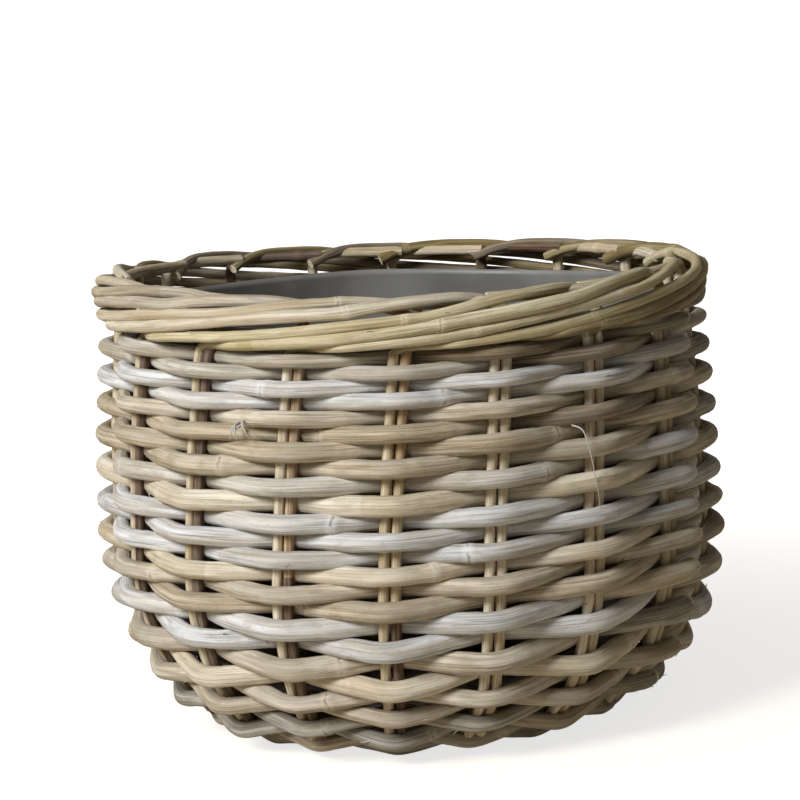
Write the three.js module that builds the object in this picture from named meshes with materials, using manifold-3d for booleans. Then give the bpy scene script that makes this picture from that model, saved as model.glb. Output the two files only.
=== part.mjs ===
// Round planter basket of woven rattan with a plastic liner.
// Millimetres, +Z up. The basket stands on Z = 0 and its axis is the Z axis.
// Azimuth 0 is the front (-Y) and grows towards +X.
import * as THREE from 'three';
import { mergeVertices } from 'three/addons/utils/BufferGeometryUtils.js';
import Module from 'manifold-3d';

const wasm = await Module();
wasm.setup();

// Wall outline, taken on the middle line of the upright stakes.
const RIM_RADIUS = 192;
const RIM_HEIGHT = 276;
const BELLY_RADIUS = 200;
const BELLY_HEIGHT = 125;
const FOOT_RADIUS = 160;
const FOOT_HEIGHT = 24;
const FOOT_FLARE = 44; // degrees that the wall leans out from upright at the foot
const BASE_RADIUS = 135; // middle line of the lowest row, the one that the basket stands on
const BASE_CROWN = 5; // how far the middle of the base is pushed up

// Stations: one pair of stakes each, spread evenly round the basket.
const STATIONS = 18;
const FRONT_STATION_AZIMUTH = -3.9; // degrees, half way up the wall
const STAKE_LEAN = 3.84; // degrees of azimuth that a stake gains over LEAN_SPAN of height
const LEAN_SPAN = 150;
const LEAN_HEIGHT = 150;

// Rods.
const STAKE_RADIUS = 3.05;
const PAIR_GAP = 1.1; // between the two stakes of a pair
const WEAVER_RADIUS = 5.4;
const BASE_STICK_RADIUS = 3.3;
const BASE_ROD_RADIUS = 4.8; // the outermost base weaver
const FINE_ROD_RADIUS = 3.4; // the base weaver nearest the middle
const CLEARANCE = 0.3;
const BASE_CLEARANCE = 0.05; // between the base sticks and what is woven on them

// Woven rows, counted from the top.
const FIRST_ROW_DROP = 8.5; // along the wall, from the rim height
const ROW_GROWTH = 0.0125; // how strongly the rows open out towards the foot
const ROW_GROWTH_POWER = 2.5; // above 1: most of that comes near the foot
const JOINT_AZIMUTH = 66; // degrees, where the two ends of every weaver meet
const FOOT_RUN = 16; // straight run of the lowest row under each base stick
const FLAT_CUT = 1; // depth cut off the lowest row where it stands
const STAKE_TIP_DROP = 2.5; // how far the stakes reach past the last row that holds them

// Border: one stake of each pair turns to the right and climbs over the next stations outside
// the wall, the other one rises behind it and turns to the left on top.
const TAIL_STATIONS = 4.5;
const TAIL_CLIMB = 6.4; // per station
const TAIL_STEP_UP = 2.4; // extra climb that parts the upper rods from the lower ones
const TAIL_OUTSET = 12; // outside the wall's middle line where the border starts
const TAIL_FLARE = 2.5; // how much further out its upper edge is
const TUCK_STATIONS = 1; // the last part of each rod, which comes in over the rim
const TUCK_OUTSET = 4; // where its cut end lies, outside the wall's middle line
const TOP_ROD_DROP = 1.7; // from the cut ends on the outside to the inner rods on top
const TOP_ROD_INSET = 7.5; // its cut end, inside the wall's middle line
const TOP_ROD_REACH = 1.07; // in stations

// Base.
const BASE_RING_STEP = 10.6;
const BASE_RINGS = 6;
const SLATH_REACH = 22; // half length of the crossing where the sticks lie side by side
const FAN_RADIUS = 60; // where each stick has reached its own spoke

// Liner.
const LINER_WALL = 1.5;
const LINER_SLACK = 0.6; // between the liner and the innermost weavers
const LINER_HEIGHT = 288;
const LINER_SIDES = 36;

const WEAVER_SIDES = 6;
const STAKE_SIDES = 5;
const BASE_SIDES = 5;

const STATION_STEP = 360 / STATIONS;
const PAIR_HALF = STAKE_RADIUS + PAIR_GAP / 2;
const WEAVER_HALF_HEIGHT = WEAVER_RADIUS * Math.cos(Math.PI / WEAVER_SIDES);
const TOP_ROD_HEIGHT = tailHeight(TAIL_STATIONS) - TOP_ROD_DROP;

const rattan = {
  bleached: 0xc9c6c0,
  grey: 0x9d968c,
  tan: 0xb39c78,
  cream: 0xcdbd9a,
  brown: 0x8a7358,
  honey: 0xb59a63,
};
const rowTones = [
  'brown', 'grey', 'grey', 'bleached', 'tan', 'brown', 'tan', 'grey', 'grey', 'cream', 'bleached',
  'bleached', 'bleached', 'cream', 'tan', 'tan', 'bleached', 'bleached', 'tan', 'cream', 'tan',
  'tan', 'grey', 'grey', 'tan', 'tan',
];

// How far a weaver's middle line swings out and in from the wall's middle line, where it turns
// in one point over each station, so that its straight runs just clear what stands there.
// An upright wall curves away behind an outer turn, so that one has to reach further there
// than on the flat base.
function weaveReach(place, rodRadius, coreRadius, coreHalfSpread, clearance = CLEARANCE) {
  const step = THREE.MathUtils.degToRad(STATION_STEP);
  const chord = 2 * place.radius * Math.sin(step / 2);
  const bend = step * place.outR;
  const apart = rodRadius + coreRadius + clearance;
  const reach = { out: apart, in: apart };
  for (let i = 0; i < 12; i += 1) {
    const fall = (reach.out + chord * Math.sin(bend / 2) + reach.in * Math.cos(bend))
      / (chord * Math.cos(bend / 2) - reach.in * Math.sin(bend));
    const rise = (reach.in - chord * Math.sin(bend / 2) + reach.out * Math.cos(bend))
      / (chord * Math.cos(bend / 2) + reach.out * Math.sin(bend));
    reach.out = apart * Math.hypot(1, fall) + fall * coreHalfSpread;
    reach.in = apart * Math.hypot(1, rise) + Math.abs(rise) * coreHalfSpread;
  }
  return reach;
}

const FOOT_REACH = WEAVER_RADIUS + BASE_STICK_RADIUS + BASE_CLEARANCE;
const BASE_HEIGHT = WEAVER_RADIUS - FLAT_CUT + FOOT_REACH;

// The wall's middle line as a chain of straight runs, from the rim down to the lowest row.
// x holds the radius and y the height.
class WallLine {
  constructor() {
    const lean = Math.tan(THREE.MathUtils.degToRad(FOOT_FLARE));
    const rim = new THREE.Vector2(RIM_RADIUS, RIM_HEIGHT);
    const shoulder = new THREE.Vector2(BELLY_RADIUS, (RIM_HEIGHT + BELLY_HEIGHT) / 2);
    const belly = new THREE.Vector2(BELLY_RADIUS, BELLY_HEIGHT);
    const bend = new THREE.Vector2(BELLY_RADIUS, FOOT_HEIGHT + (BELLY_RADIUS - FOOT_RADIUS) / lean);
    const foot = new THREE.Vector2(FOOT_RADIUS, FOOT_HEIGHT);
    const corner = new THREE.Vector2(FOOT_RADIUS - (FOOT_HEIGHT - BASE_HEIGHT) * lean, BASE_HEIGHT);
    const base = new THREE.Vector2(BASE_RADIUS, BASE_HEIGHT);
    const upper = new THREE.QuadraticBezierCurve(rim, shoulder, belly).getPoints(2);
    const lower = new THREE.QuadraticBezierCurve(belly, bend, foot).getPoints(4);
    const turn = new THREE.QuadraticBezierCurve(foot, corner, base).getPoints(2);
    this.points = [...upper, ...lower.slice(1), ...turn.slice(1)];
    this.arcs = [0];
    for (let i = 1; i < this.points.length; i += 1) {
      this.arcs.push(this.arcs[i - 1] + this.points[i].distanceTo(this.points[i - 1]));
    }
    this.length = this.arcs[this.arcs.length - 1];
  }

  // Radius, height and outward normal at a distance from the rim.
  at(arc) {
    let i = 1;
    while (i < this.arcs.length - 1 && this.arcs[i] < arc) i += 1;
    const from = this.points[i - 1];
    const run = this.points[i].clone().sub(from);
    const share = (arc - this.arcs[i - 1]) / (this.arcs[i] - this.arcs[i - 1]);
    const place = from.clone().addScaledVector(run, share);
    run.normalize();
    return { radius: place.x, height: place.y, outR: -run.y, outZ: run.x };
  }
}

const wall = new WallLine();

// Distances of the rows from the rim. They start as close as the rods allow, open out
// steadily, and the last one is the row that the basket stands on.
function rowArcs() {
  const pitch = 2 * WEAVER_HALF_HEIGHT + CLEARANCE;
  const room = wall.length - FIRST_ROW_DROP;
  const drops = [0];
  while (drops[drops.length - 1] <= room) {
    const n = drops.length;
    drops.push(pitch * n + ROW_GROWTH * n ** ROW_GROWTH_POWER);
  }
  drops.pop();
  const stretch = room / drops[drops.length - 1];
  return drops.map((drop) => FIRST_ROW_DROP + drop * stretch);
}

const rows = rowArcs();
const tipArc = rows[rows.length - 3] + STAKE_TIP_DROP;
const stickEndArc = tipArc + STAKE_RADIUS + CLEARANCE;

// Azimuth of a station, in radians, at a height.
function stationAzimuth(station, height) {
  const lean = (STAKE_LEAN * (height - LEAN_HEIGHT)) / LEAN_SPAN;
  return THREE.MathUtils.degToRad(FRONT_STATION_AZIMUTH + station * STATION_STEP + lean);
}

function polar(radius, azimuth, height) {
  return new THREE.Vector3(radius * Math.sin(azimuth), -radius * Math.cos(azimuth), height);
}

function outward(azimuth, outR, outZ) {
  return polar(outR, azimuth, outZ);
}

// A rod's path: straight runs between given points, with one section at each point whose
// first axis follows the given outward direction.
class RodPath extends THREE.Curve {
  constructor(points, outs) {
    super();
    this.points = points;
    this.outs = outs;
  }

  getPoint(t) {
    return this.points[Math.round(t * (this.points.length - 1))].clone();
  }

  getPointAt(u) {
    return this.getPoint(u);
  }

  computeFrenetFrames() {
    const last = this.points.length - 1;
    const tangents = [];
    const normals = [];
    const binormals = [];
    this.points.forEach((point, i) => {
      const ahead = this.points[Math.min(i + 1, last)].clone().sub(point).normalize();
      const behind = point.clone().sub(this.points[Math.max(i - 1, 0)]).normalize();
      const tangent = ahead.add(behind).normalize();
      const out = this.outs[i].clone();
      out.addScaledVector(tangent, -out.dot(tangent)).normalize();
      tangents.push(tangent);
      normals.push(out);
      binormals.push(new THREE.Vector3().crossVectors(tangent, out));
    });
    return { tangents, normals, binormals };
  }
}

function rodGeometry(points, outs, radius, sides) {
  const section = new THREE.Shape();
  for (let i = 0; i < sides; i += 1) {
    const turn = (2 * Math.PI * i) / sides;
    const x = radius * Math.cos(turn);
    const y = radius * Math.sin(turn);
    if (i === 0) section.moveTo(x, y);
    else section.lineTo(x, y);
  }
  section.closePath();
  return new THREE.ExtrudeGeometry(section, {
    steps: points.length - 1,
    curveSegments: 1,
    bevelEnabled: false,
    extrudePath: new RodPath(points, outs),
  });
}

function toSolid(geometry) {
  const bare = geometry.clone();
  bare.deleteAttribute('normal');
  bare.deleteAttribute('uv');
  const merged = mergeVertices(bare, 1e-4);
  return new wasm.Manifold(new wasm.Mesh({
    numProp: 3,
    vertProperties: new Float32Array(merged.attributes.position.array),
    triVerts: new Uint32Array(merged.index.array),
  }));
}

function toGeometry(solid) {
  const mesh = solid.getMesh();
  const geometry = new THREE.BufferGeometry();
  geometry.setAttribute('position', new THREE.BufferAttribute(new Float32Array(mesh.vertProperties), 3));
  geometry.setIndex(new THREE.BufferAttribute(new Uint32Array(mesh.triVerts), 1));
  return geometry;
}

const basket = new THREE.Group();

function addPiece(name, geometry, color, roughness = 0.75) {
  const material = new THREE.MeshStandardMaterial({ color, roughness, metalness: 0 });
  const mesh = new THREE.Mesh(geometry, material);
  mesh.name = name;
  basket.add(mesh);
  return mesh;
}

function label(stem, index) {
  return `${stem}_${String(index + 1).padStart(2, '0')}`;
}

// One weaver: once round from joint to joint, out over one station and in behind the next.
// place gives the middle line there, reach how far the weaver swings, and run the length that
// it stays straight over a station.
function weaverGeometry({ place, reach, radius, parity, run = 0, sides = WEAVER_SIDES }) {
  const halfRun = run / 2 / place.radius;
  const spot = (station, shift) => {
    const azimuth = stationAzimuth(station, place.height) + shift;
    const offset = (((station + parity) % 2) + 2) % 2 === 0 ? reach.out : -reach.in;
    return {
      at: polar(place.radius + offset * place.outR, azimuth, place.height + offset * place.outZ),
      out: outward(azimuth, place.outR, place.outZ),
    };
  };
  const joint = THREE.MathUtils.degToRad(JOINT_AZIMUTH);
  const step = THREE.MathUtils.degToRad(STATION_STEP);
  const first = Math.ceil((joint - stationAzimuth(0, place.height)) / step);

  // Both ends lie half way along the straight run that comes to the first station.
  const from = spot(first - 1, halfRun);
  const to = spot(first, -halfRun);
  const gap = CLEARANCE / from.at.distanceTo(to.at);
  const between = (share) => ({
    at: from.at.clone().lerp(to.at, share),
    out: from.out.clone().lerp(to.out, share),
  });
  const spots = [between(0.5 + gap)];
  for (let i = 0; i < STATIONS; i += 1) {
    spots.push(spot(first + i, -halfRun));
    if (run > 0) spots.push(spot(first + i, halfRun));
  }
  spots.push(between(0.5 - gap));
  return rodGeometry(spots.map(({ at }) => at), spots.map(({ out }) => out), radius, sides);
}

// Removes what lies below the ground, so that the row stands on flats.
function cutFlat(geometry) {
  const size = 4 * BELLY_RADIUS;
  const slab = new THREE.BoxGeometry(size, size, size);
  slab.translate(0, 0, -size / 2);
  return toGeometry(toSolid(geometry).subtract(toSolid(slab)));
}

function addRows() {
  rows.forEach((arc, n) => {
    const tone = rattan[rowTones[n % rowTones.length]];
    if (n === rows.length - 1) {
      const place = { radius: BASE_RADIUS, height: BASE_HEIGHT, outR: 0, outZ: -1 };
      const reach = { out: FOOT_REACH, in: FOOT_REACH };
      const foot = { place, reach, radius: WEAVER_RADIUS, parity: n + 1, run: FOOT_RUN };
      addPiece(label('weaver_row', n), cutFlat(weaverGeometry(foot)), tone);
      return;
    }
    const place = wall.at(arc);
    const reach = arc > tipArc
      ? weaveReach(place, WEAVER_RADIUS, BASE_STICK_RADIUS, 0, BASE_CLEARANCE)
      : weaveReach(place, WEAVER_RADIUS, STAKE_RADIUS, PAIR_HALF);
    const row = { place, reach, radius: WEAVER_RADIUS, parity: n + 1 };
    addPiece(label('weaver_row', n), weaverGeometry(row), tone);
  });
}

// The upright part that both stakes of a pair share: side is -1 for the left one, 1 for the
// right one.
function uprightPoints(station, side) {
  const points = [];
  const outs = [];
  const add = (place) => {
    const azimuth = stationAzimuth(station, place.height) + (side * PAIR_HALF) / place.radius;
    points.push(polar(place.radius, azimuth, place.height));
    outs.push(outward(azimuth, place.outR, place.outZ));
  };
  add(wall.at(tipArc));
  for (let i = wall.points.length - 1; i > 0; i -= 1) {
    if (wall.arcs[i] < tipArc - STAKE_RADIUS) add(wall.at(wall.arcs[i]));
  }
  return { points, outs };
}

// Continues a stake above the wall. Each stop is [stations along, offset from the wall's
// middle line, height, millimetres along].
function addStops(rod, station, stops) {
  stops.forEach(([along, offset, height, shift]) => {
    const radius = RIM_RADIUS + offset;
    const base = stationAzimuth(station, Math.min(height, TOP_ROD_HEIGHT));
    const azimuth = base + along * THREE.MathUtils.degToRad(STATION_STEP) + shift / radius;
    rod.points.push(polar(radius, azimuth, height));
    rod.outs.push(outward(azimuth, 1, 0));
  });
}

function tailHeight(along) {
  const parted = THREE.MathUtils.clamp(along - 1.5, 0, 1);
  return RIM_HEIGHT + TAIL_CLIMB * along + TAIL_STEP_UP * parted;
}

function tailOffset(along) {
  const straight = TAIL_OUTSET + (TAIL_FLARE * along) / TAIL_STATIONS;
  const tuck = THREE.MathUtils.smoothstep(along, TAIL_STATIONS - TUCK_STATIONS, TAIL_STATIONS);
  return THREE.MathUtils.lerp(straight, TUCK_OUTSET, tuck);
}

function addStakes() {
  const turnStart = RIM_HEIGHT - 1.5 * STAKE_RADIUS;
  for (let station = 0; station < STATIONS; station += 1) {
    const left = uprightPoints(station, -1);
    addStops(left, station, [
      [0, 0, turnStart - STAKE_RADIUS, -PAIR_HALF],
      [0, 0.85 * STAKE_RADIUS, turnStart + 0.8 * STAKE_RADIUS, -PAIR_HALF / 3],
      [0, 1.7 * STAKE_RADIUS, RIM_HEIGHT, PAIR_HALF],
      [0.25, 0.9 * tailOffset(0.25), tailHeight(0.25), 0],
    ]);
    for (let along = 0.5; along <= TAIL_STATIONS; along += 0.5) {
      addStops(left, station, [[along, tailOffset(along), tailHeight(along), 0]]);
    }
    const right = uprightPoints(station, 1);
    addStops(right, station, [
      [0, 0, turnStart - STAKE_RADIUS, PAIR_HALF],
      [0, 0, TOP_ROD_HEIGHT - 4.4 * STAKE_RADIUS, PAIR_HALF],
      [0, -0.2 * STAKE_RADIUS, TOP_ROD_HEIGHT - 2.1 * STAKE_RADIUS, 0.7 * PAIR_HALF],
      [-0.1, -0.4 * STAKE_RADIUS, TOP_ROD_HEIGHT - 0.6 * STAKE_RADIUS, 0],
      [-0.5, -TOP_ROD_INSET / 2, TOP_ROD_HEIGHT, 0],
      [-TOP_ROD_REACH, -TOP_ROD_INSET, TOP_ROD_HEIGHT, 0],
    ]);
    const leftRod = toSolid(rodGeometry(left.points, left.outs, STAKE_RADIUS, STAKE_SIDES));
    const rightRod = toSolid(rodGeometry(right.points, right.outs, STAKE_RADIUS, STAKE_SIDES));
    addPiece(label('stake_pair', station), toGeometry(leftRod.add(rightRod)), rattan.honey, 0.6);
  }
}

function crownHeight(radius) {
  const share = Math.min(radius / BASE_RADIUS, 1);
  return BASE_HEIGHT + BASE_CROWN * (1 - share * share);
}

// Each base stick lies along one of two bundles that cross in the middle, and fans out to a
// spoke under a pair of stakes at each end.
function baseStickGeometry(axis, lateral, layer, spokes) {
  const points = [];
  const lift = layer * (BASE_STICK_RADIUS + CLEARANCE / 2);
  const spokePoints = (spoke) => {
    const list = [];
    const azimuth = stationAzimuth(spoke, BASE_HEIGHT);
    const end = wall.at(stickEndArc);
    list.push(polar(end.radius, azimuth, end.height));
    for (let i = wall.points.length - 2; i < wall.points.length; i += 1) {
      list.push(polar(wall.points[i].x, azimuth, wall.points[i].y));
    }
    list.push(polar(FAN_RADIUS, azimuth, crownHeight(FAN_RADIUS)));
    return list;
  };
  const slathPoint = (along) => {
    const point = polar(along, axis, crownHeight(0) + lift);
    return point.add(polar(lateral, axis + Math.PI / 2, 0));
  };
  points.push(...spokePoints(spokes[0]));
  points.push(slathPoint(SLATH_REACH));
  points.push(slathPoint(-SLATH_REACH));
  points.push(...spokePoints(spokes[1]).reverse());
  const outs = points.map(() => new THREE.Vector3(0, 0, 1));
  return rodGeometry(points, outs, BASE_STICK_RADIUS, BASE_SIDES);
}

function addBaseSticks() {
  const half = STATIONS / 2;
  const wide = Math.ceil(half / 2);
  const spacing = 2 * BASE_STICK_RADIUS + CLEARANCE;
  const bundles = [
    { count: wide, middle: 0, layer: 1 },
    { count: half - wide, middle: half / 2, layer: -1 },
  ];
  let index = 0;
  bundles.forEach(({ count, middle, layer }) => {
    const axis = stationAzimuth(middle, BASE_HEIGHT);
    for (let i = 0; i < count; i += 1) {
      const aside = i - (count - 1) / 2;
      const spokes = [middle + aside, middle + half - aside];
      const geometry = baseStickGeometry(axis, aside * spacing, layer, spokes);
      addPiece(label('base_stick', index), geometry, rattan.tan);
      index += 1;
    }
  });
}

function baseRing(index) {
  const radius = BASE_RADIUS - BASE_RING_STEP * (index + 1);
  const share = index / Math.max(BASE_RINGS - 1, 1);
  const rod = THREE.MathUtils.lerp(BASE_ROD_RADIUS, FINE_ROD_RADIUS, share);
  const place = { radius, height: crownHeight(radius), outR: 0, outZ: -1 };
  const reach = weaveReach(place, rod, BASE_STICK_RADIUS, 0, BASE_CLEARANCE);
  return { place, radius: rod, reach };
}

function addBaseRings() {
  for (let i = 0; i < BASE_RINGS; i += 1) {
    const parity = rows.length + 1 + i;
    addPiece(label('base_weaver', i), weaverGeometry({ ...baseRing(i), parity, sides: BASE_SIDES }), rattan.tan);
  }
}

// A thin plastic pot that stands on the base weave and follows the wall up to the border.
function addLiner() {
  let floor = BASE_HEIGHT + FOOT_REACH + WEAVER_RADIUS;
  for (let i = 0; i < BASE_RINGS; i += 1) {
    const ring = baseRing(i);
    floor = Math.max(floor, ring.place.height + ring.reach.in + ring.radius);
  }
  floor += CLEARANCE;
  const spot = (place, depth) => {
    const reach = weaveReach(place, WEAVER_RADIUS, STAKE_RADIUS, PAIR_HALF);
    const inset = reach.in + WEAVER_RADIUS + LINER_SLACK + depth;
    return new THREE.Vector2(place.radius - inset * place.outR, place.height - inset * place.outZ);
  };
  const places = wall.arcs.slice(1).map((arc) => wall.at(arc));
  const kept = places.filter((place) => spot(place, 0).y > floor + 2 * LINER_WALL);
  const side = (depth) => [
    new THREE.Vector2(spot(wall.at(0), depth).x, LINER_HEIGHT),
    ...kept.map((place) => spot(place, depth)),
  ];
  const outer = side(0);
  const inner = side(LINER_WALL);
  const profile = [
    new THREE.Vector2(0, floor),
    new THREE.Vector2(BASE_RADIUS, floor),
    ...outer.reverse(),
    ...inner,
    new THREE.Vector2(BASE_RADIUS - LINER_WALL, floor + LINER_WALL),
    new THREE.Vector2(0, floor + LINER_WALL),
  ];
  const geometry = new THREE.LatheGeometry(profile, LINER_SIDES);
  geometry.rotateX(Math.PI / 2);
  addPiece('liner', geometry, 0x6f7173, 0.45);
}

addRows();
addStakes();
addBaseSticks();
addBaseRings();
addLiner();

export default basket;
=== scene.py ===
# %% [markdown]
# # A rattan planter basket
# The real basket is woven from about sixty bare rattan rods: thick weavers that run round in
# rows, thin upright stakes in pairs, a border made of the stakes' own turned-over ends, and a
# round base of crossing sticks. A thin plastic liner stands inside.
#
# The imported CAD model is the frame. It says where every rod lies, in metres, with the basket
# standing on Z = 0 round the Z axis and its front towards -Y. Each CAD rod is a plain prism
# with corners, so every one of them is replaced here by a rod with rattan's real roundness,
# bends, lumps, rings and fibres.

# %% Load the frame
import functools
import math
import random

import bpy
import numpy as np
from mathutils import Matrix, Vector


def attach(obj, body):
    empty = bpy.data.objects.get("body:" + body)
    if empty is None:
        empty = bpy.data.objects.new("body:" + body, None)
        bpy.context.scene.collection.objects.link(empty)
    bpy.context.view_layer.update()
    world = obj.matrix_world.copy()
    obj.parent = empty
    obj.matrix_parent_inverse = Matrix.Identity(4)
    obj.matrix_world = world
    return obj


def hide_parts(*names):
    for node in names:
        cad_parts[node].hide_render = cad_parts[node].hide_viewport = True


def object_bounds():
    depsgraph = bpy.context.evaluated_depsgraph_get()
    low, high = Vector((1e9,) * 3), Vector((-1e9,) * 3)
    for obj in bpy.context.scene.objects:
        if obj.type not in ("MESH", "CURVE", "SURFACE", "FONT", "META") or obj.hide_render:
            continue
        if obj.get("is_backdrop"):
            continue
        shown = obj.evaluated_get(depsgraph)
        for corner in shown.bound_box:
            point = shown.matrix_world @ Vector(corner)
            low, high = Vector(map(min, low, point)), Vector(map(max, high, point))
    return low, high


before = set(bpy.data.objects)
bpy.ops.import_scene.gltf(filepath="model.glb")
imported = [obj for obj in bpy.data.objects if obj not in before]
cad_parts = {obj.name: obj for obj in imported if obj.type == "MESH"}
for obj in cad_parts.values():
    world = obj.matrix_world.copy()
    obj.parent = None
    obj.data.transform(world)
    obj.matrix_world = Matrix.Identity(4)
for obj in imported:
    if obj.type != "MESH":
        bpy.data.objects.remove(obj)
cad_low, cad_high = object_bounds()
print("CAD box", [round(v, 4) for v in (*cad_low, *cad_high)])

# %% [markdown]
# ## The camera
# The photograph was taken from slightly above the rim, from far away with a long lens. The
# basket leans a little to the left in it, which is a turn of the camera round its own axis.
# The camera comes first, so that every later piece can be judged through it.

# %% Place the camera
CAMERA_DISTANCE = 1.5968
CAMERA_ELEVATION = math.radians(8.95)
CAMERA_ROLL = math.radians(3.84)
AIM_HEIGHT = 0.2089
LENS = 105.3
SENSOR = 36.0

scene = bpy.context.scene
camera = bpy.data.objects.new("camera", bpy.data.cameras.new("camera"))
scene.collection.objects.link(camera)
camera.data.lens = LENS
camera.data.sensor_width = SENSOR
back_along_view = Vector((0, -math.cos(CAMERA_ELEVATION), math.sin(CAMERA_ELEVATION)))
camera.location = Vector((0, 0, AIM_HEIGHT)) + CAMERA_DISTANCE * back_along_view
upright = (-back_along_view).to_track_quat("-Z", "Y")
roll = Matrix.Rotation(-CAMERA_ROLL, 3, "Z").to_quaternion()
camera.rotation_mode = "QUATERNION"
camera.rotation_quaternion = upright @ roll
camera.data.clip_start = 0.05
camera.data.clip_end = 50
scene.camera = camera
print("camera at", [round(v, 3) for v in camera.location])

# %% [markdown]
# ## Sizes
# A few sizes of the construction are repeated here from the CAD source, in metres: the
# stakes' stations, and how much they lean. The rows are not repeated, because each row's own
# solid can be measured.

# %% Name the sizes
MM = 0.001
FULL_TURN = 2 * math.pi
STATIONS = 18
STATION_STEP = FULL_TURN / STATIONS
FRONT_STATION_AZIMUTH = math.radians(-3.9)
STAKE_LEAN = math.radians(3.84)
LEAN_HEIGHT = 150 * MM
ROW_COUNT = 26
STAKE_ROWS = 24
CAD_WEAVER_RADIUS = 5.4 * MM


def lean_at(height):
    """The stakes lean by STAKE_LEAN over every LEAN_HEIGHT, and not at all at that height."""
    return STAKE_LEAN * (height - LEAN_HEIGHT) / LEAN_HEIGHT


def station_azimuth(station, height):
    return FRONT_STATION_AZIMUTH + station * STATION_STEP + lean_at(height)


def polar(radius, azimuth, height):
    return Vector((radius * math.sin(azimuth), -radius * math.cos(azimuth), height))


# %% [markdown]
# ## Where each row lies
# A weaver swings out over one pair of stakes and in behind the next. Seen as radius and
# height, the points of its CAD solid fill a short band. The middle of the band is the row's
# place on the wall, and the band's long direction is the way that the rod swings: straight
# out on the wall, and down at the foot.

# %% Measure the rows
def vertex_numbers(mesh, what="co"):
    """The places or the normals of a mesh's vertices, one row each."""
    numbers = np.empty(len(mesh.vertices) * 3)
    mesh.vertices.foreach_get(what, numbers)
    return numbers.reshape(-1, 3)


def measure_row(node):
    points = vertex_numbers(node.data)
    band = np.column_stack([np.hypot(points[:, 0], points[:, 1]), points[:, 2]])
    middle = (band.min(axis=0) + band.max(axis=0)) / 2
    spread = np.cov((band - band.mean(axis=0)).T)
    swing = np.linalg.eigh(spread)[1][:, 1]
    if swing[0] - swing[1] < 0:
        swing = -swing
    along = (band - middle) @ swing
    reach = (along.max() - along.min()) / 2 - CAD_WEAVER_RADIUS
    names = ("radius", "height", "out_r", "out_z", "reach")
    return {name: float(value) for name, value in zip(names, (*middle, *swing, reach))}


LOWEST_ROW_HEIGHT = 8.9 * MM

rows = [measure_row(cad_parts[f"weaver_row_{n + 1:02d}"]) for n in range(ROW_COUNT)]
# The lowest row is a thinner rod here, so it lies lower to stand on the floor.
rows[-1].update(height=LOWEST_ROW_HEIGHT, out_r=0.0, out_z=-1.0)
for n in (0, 12, 23, 25):
    print(f"row {n + 1}:", {k: round(v, 4) for k, v in rows[n].items()})

# %% [markdown]
# ## The weaver's hand
# The CAD basket is perfectly even, and a hand-woven one isn't. The gaps between the stakes
# differ by a few millimetres, some rows sit a little high or low, the wall stands in a little
# towards the rim, and the rim itself is lower in front and at the right. Each of these is a
# small shift that changes smoothly over the basket, so one function moves the points of every
# finished piece, and what lay against each other stays together.

# %% Shift points as the hand did
# For each station: how many degrees it stands to the right.
STATION_DRIFT = [
    -0.1, -1.5, -1.6, -0.5, 2.2, 0.8, -0.6, 0.4, -0.3,
    0.6, -0.9, 0.2, 0.7, -0.2, 0.0, 0.5, 0.4, 0.4,
]
# At each height: how far the rows are raised. This and the next tables are in millimetres.
ROW_DRIFT = [
    (0, 0), (23, 0.9), (43, -0.6), (54, -2.4), (65, -1.3), (76, 0.2), (88, 1.0), (100, 2.2),
    (122, 2.0), (134, -0.4), (156, -1.1), (167, -1.2), (188, 0.8), (218, 1.2), (258, 0.2),
    (276, 0),
]
# At each height: how far the wall stands in, and how far it stands to the right.
WALL_SHIFT = [
    (0, 0, 2.0), (22, 0, 3.5), (45, 0.5, 5.0), (75, 1.0, 3.8), (110, 1.4, 2.7),
    (160, 2.6, 2.0), (220, 3.2, 3.7), (276, 3.4, 5.0), (310, 3.4, 5.5),
]
# At each height: how far the basket is raised at its left, in the middle and at its right.
LIFT = [
    (0, 0, 0, 0), (30, 3, 0, 3), (60, 6, 0, 6.5), (90, 5.5, 0, 6.5), (125, 2.5, 0, 4),
    (150, 3, 0, 1), (200, 4.5, 0, 0), (240, 4, 0, -0.5), (258, 4, -2, -1.5),
    (267, 3.5, -3.2, -3), (280, 3, -7.5, -8.5), (310, 3, -8.5, -9.5),
]
# Left and right are full at this radius, and the wall's step inwards at the next one.
SIDE_RADIUS = 200 * MM
INSIDE_RADIUS = 150 * MM


def smooth_share(value):
    """0 below 0, 1 above 1, smooth between."""
    value = np.clip(value, 0.0, 1.0)
    return value * value * (3 - 2 * value)


def at_height(table, column, height):
    values = [row[column] for row in table]
    return MM * np.interp(height / MM, [row[0] for row in table], values)


def shift_by_hand(mesh):
    points = vertex_numbers(mesh)
    radius = np.hypot(points[:, 0], points[:, 1])
    azimuth = np.arctan2(points[:, 0], -points[:, 1])
    height = points[:, 2].copy()
    station = (azimuth - FRONT_STATION_AZIMUTH - lean_at(height)) / STATION_STEP
    before = np.floor(station).astype(int)
    share = smooth_share(station - before)
    drift = np.radians(STATION_DRIFT)
    azimuth += drift[before % STATIONS] * (1 - share) + drift[(before + 1) % STATIONS] * share
    side = radius * np.sin(azimuth) / SIDE_RADIUS
    left, middle, right = (at_height(LIFT, column, height) for column in (1, 2, 3))
    lift = middle + (right - left) / 2 * side + ((right + left) / 2 - middle) * side * side
    lift += at_height(ROW_DRIFT, 1, height)
    points[:, 2] = np.maximum(height + lift, 0)
    radius -= at_height(WALL_SHIFT, 1, height) * np.minimum(radius / INSIDE_RADIUS, 1)
    points[:, 0] = radius * np.sin(azimuth) + at_height(WALL_SHIFT, 2, height)
    points[:, 1] = -radius * np.cos(azimuth)
    mesh.vertices.foreach_set("co", points.ravel())
    mesh.update()


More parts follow.
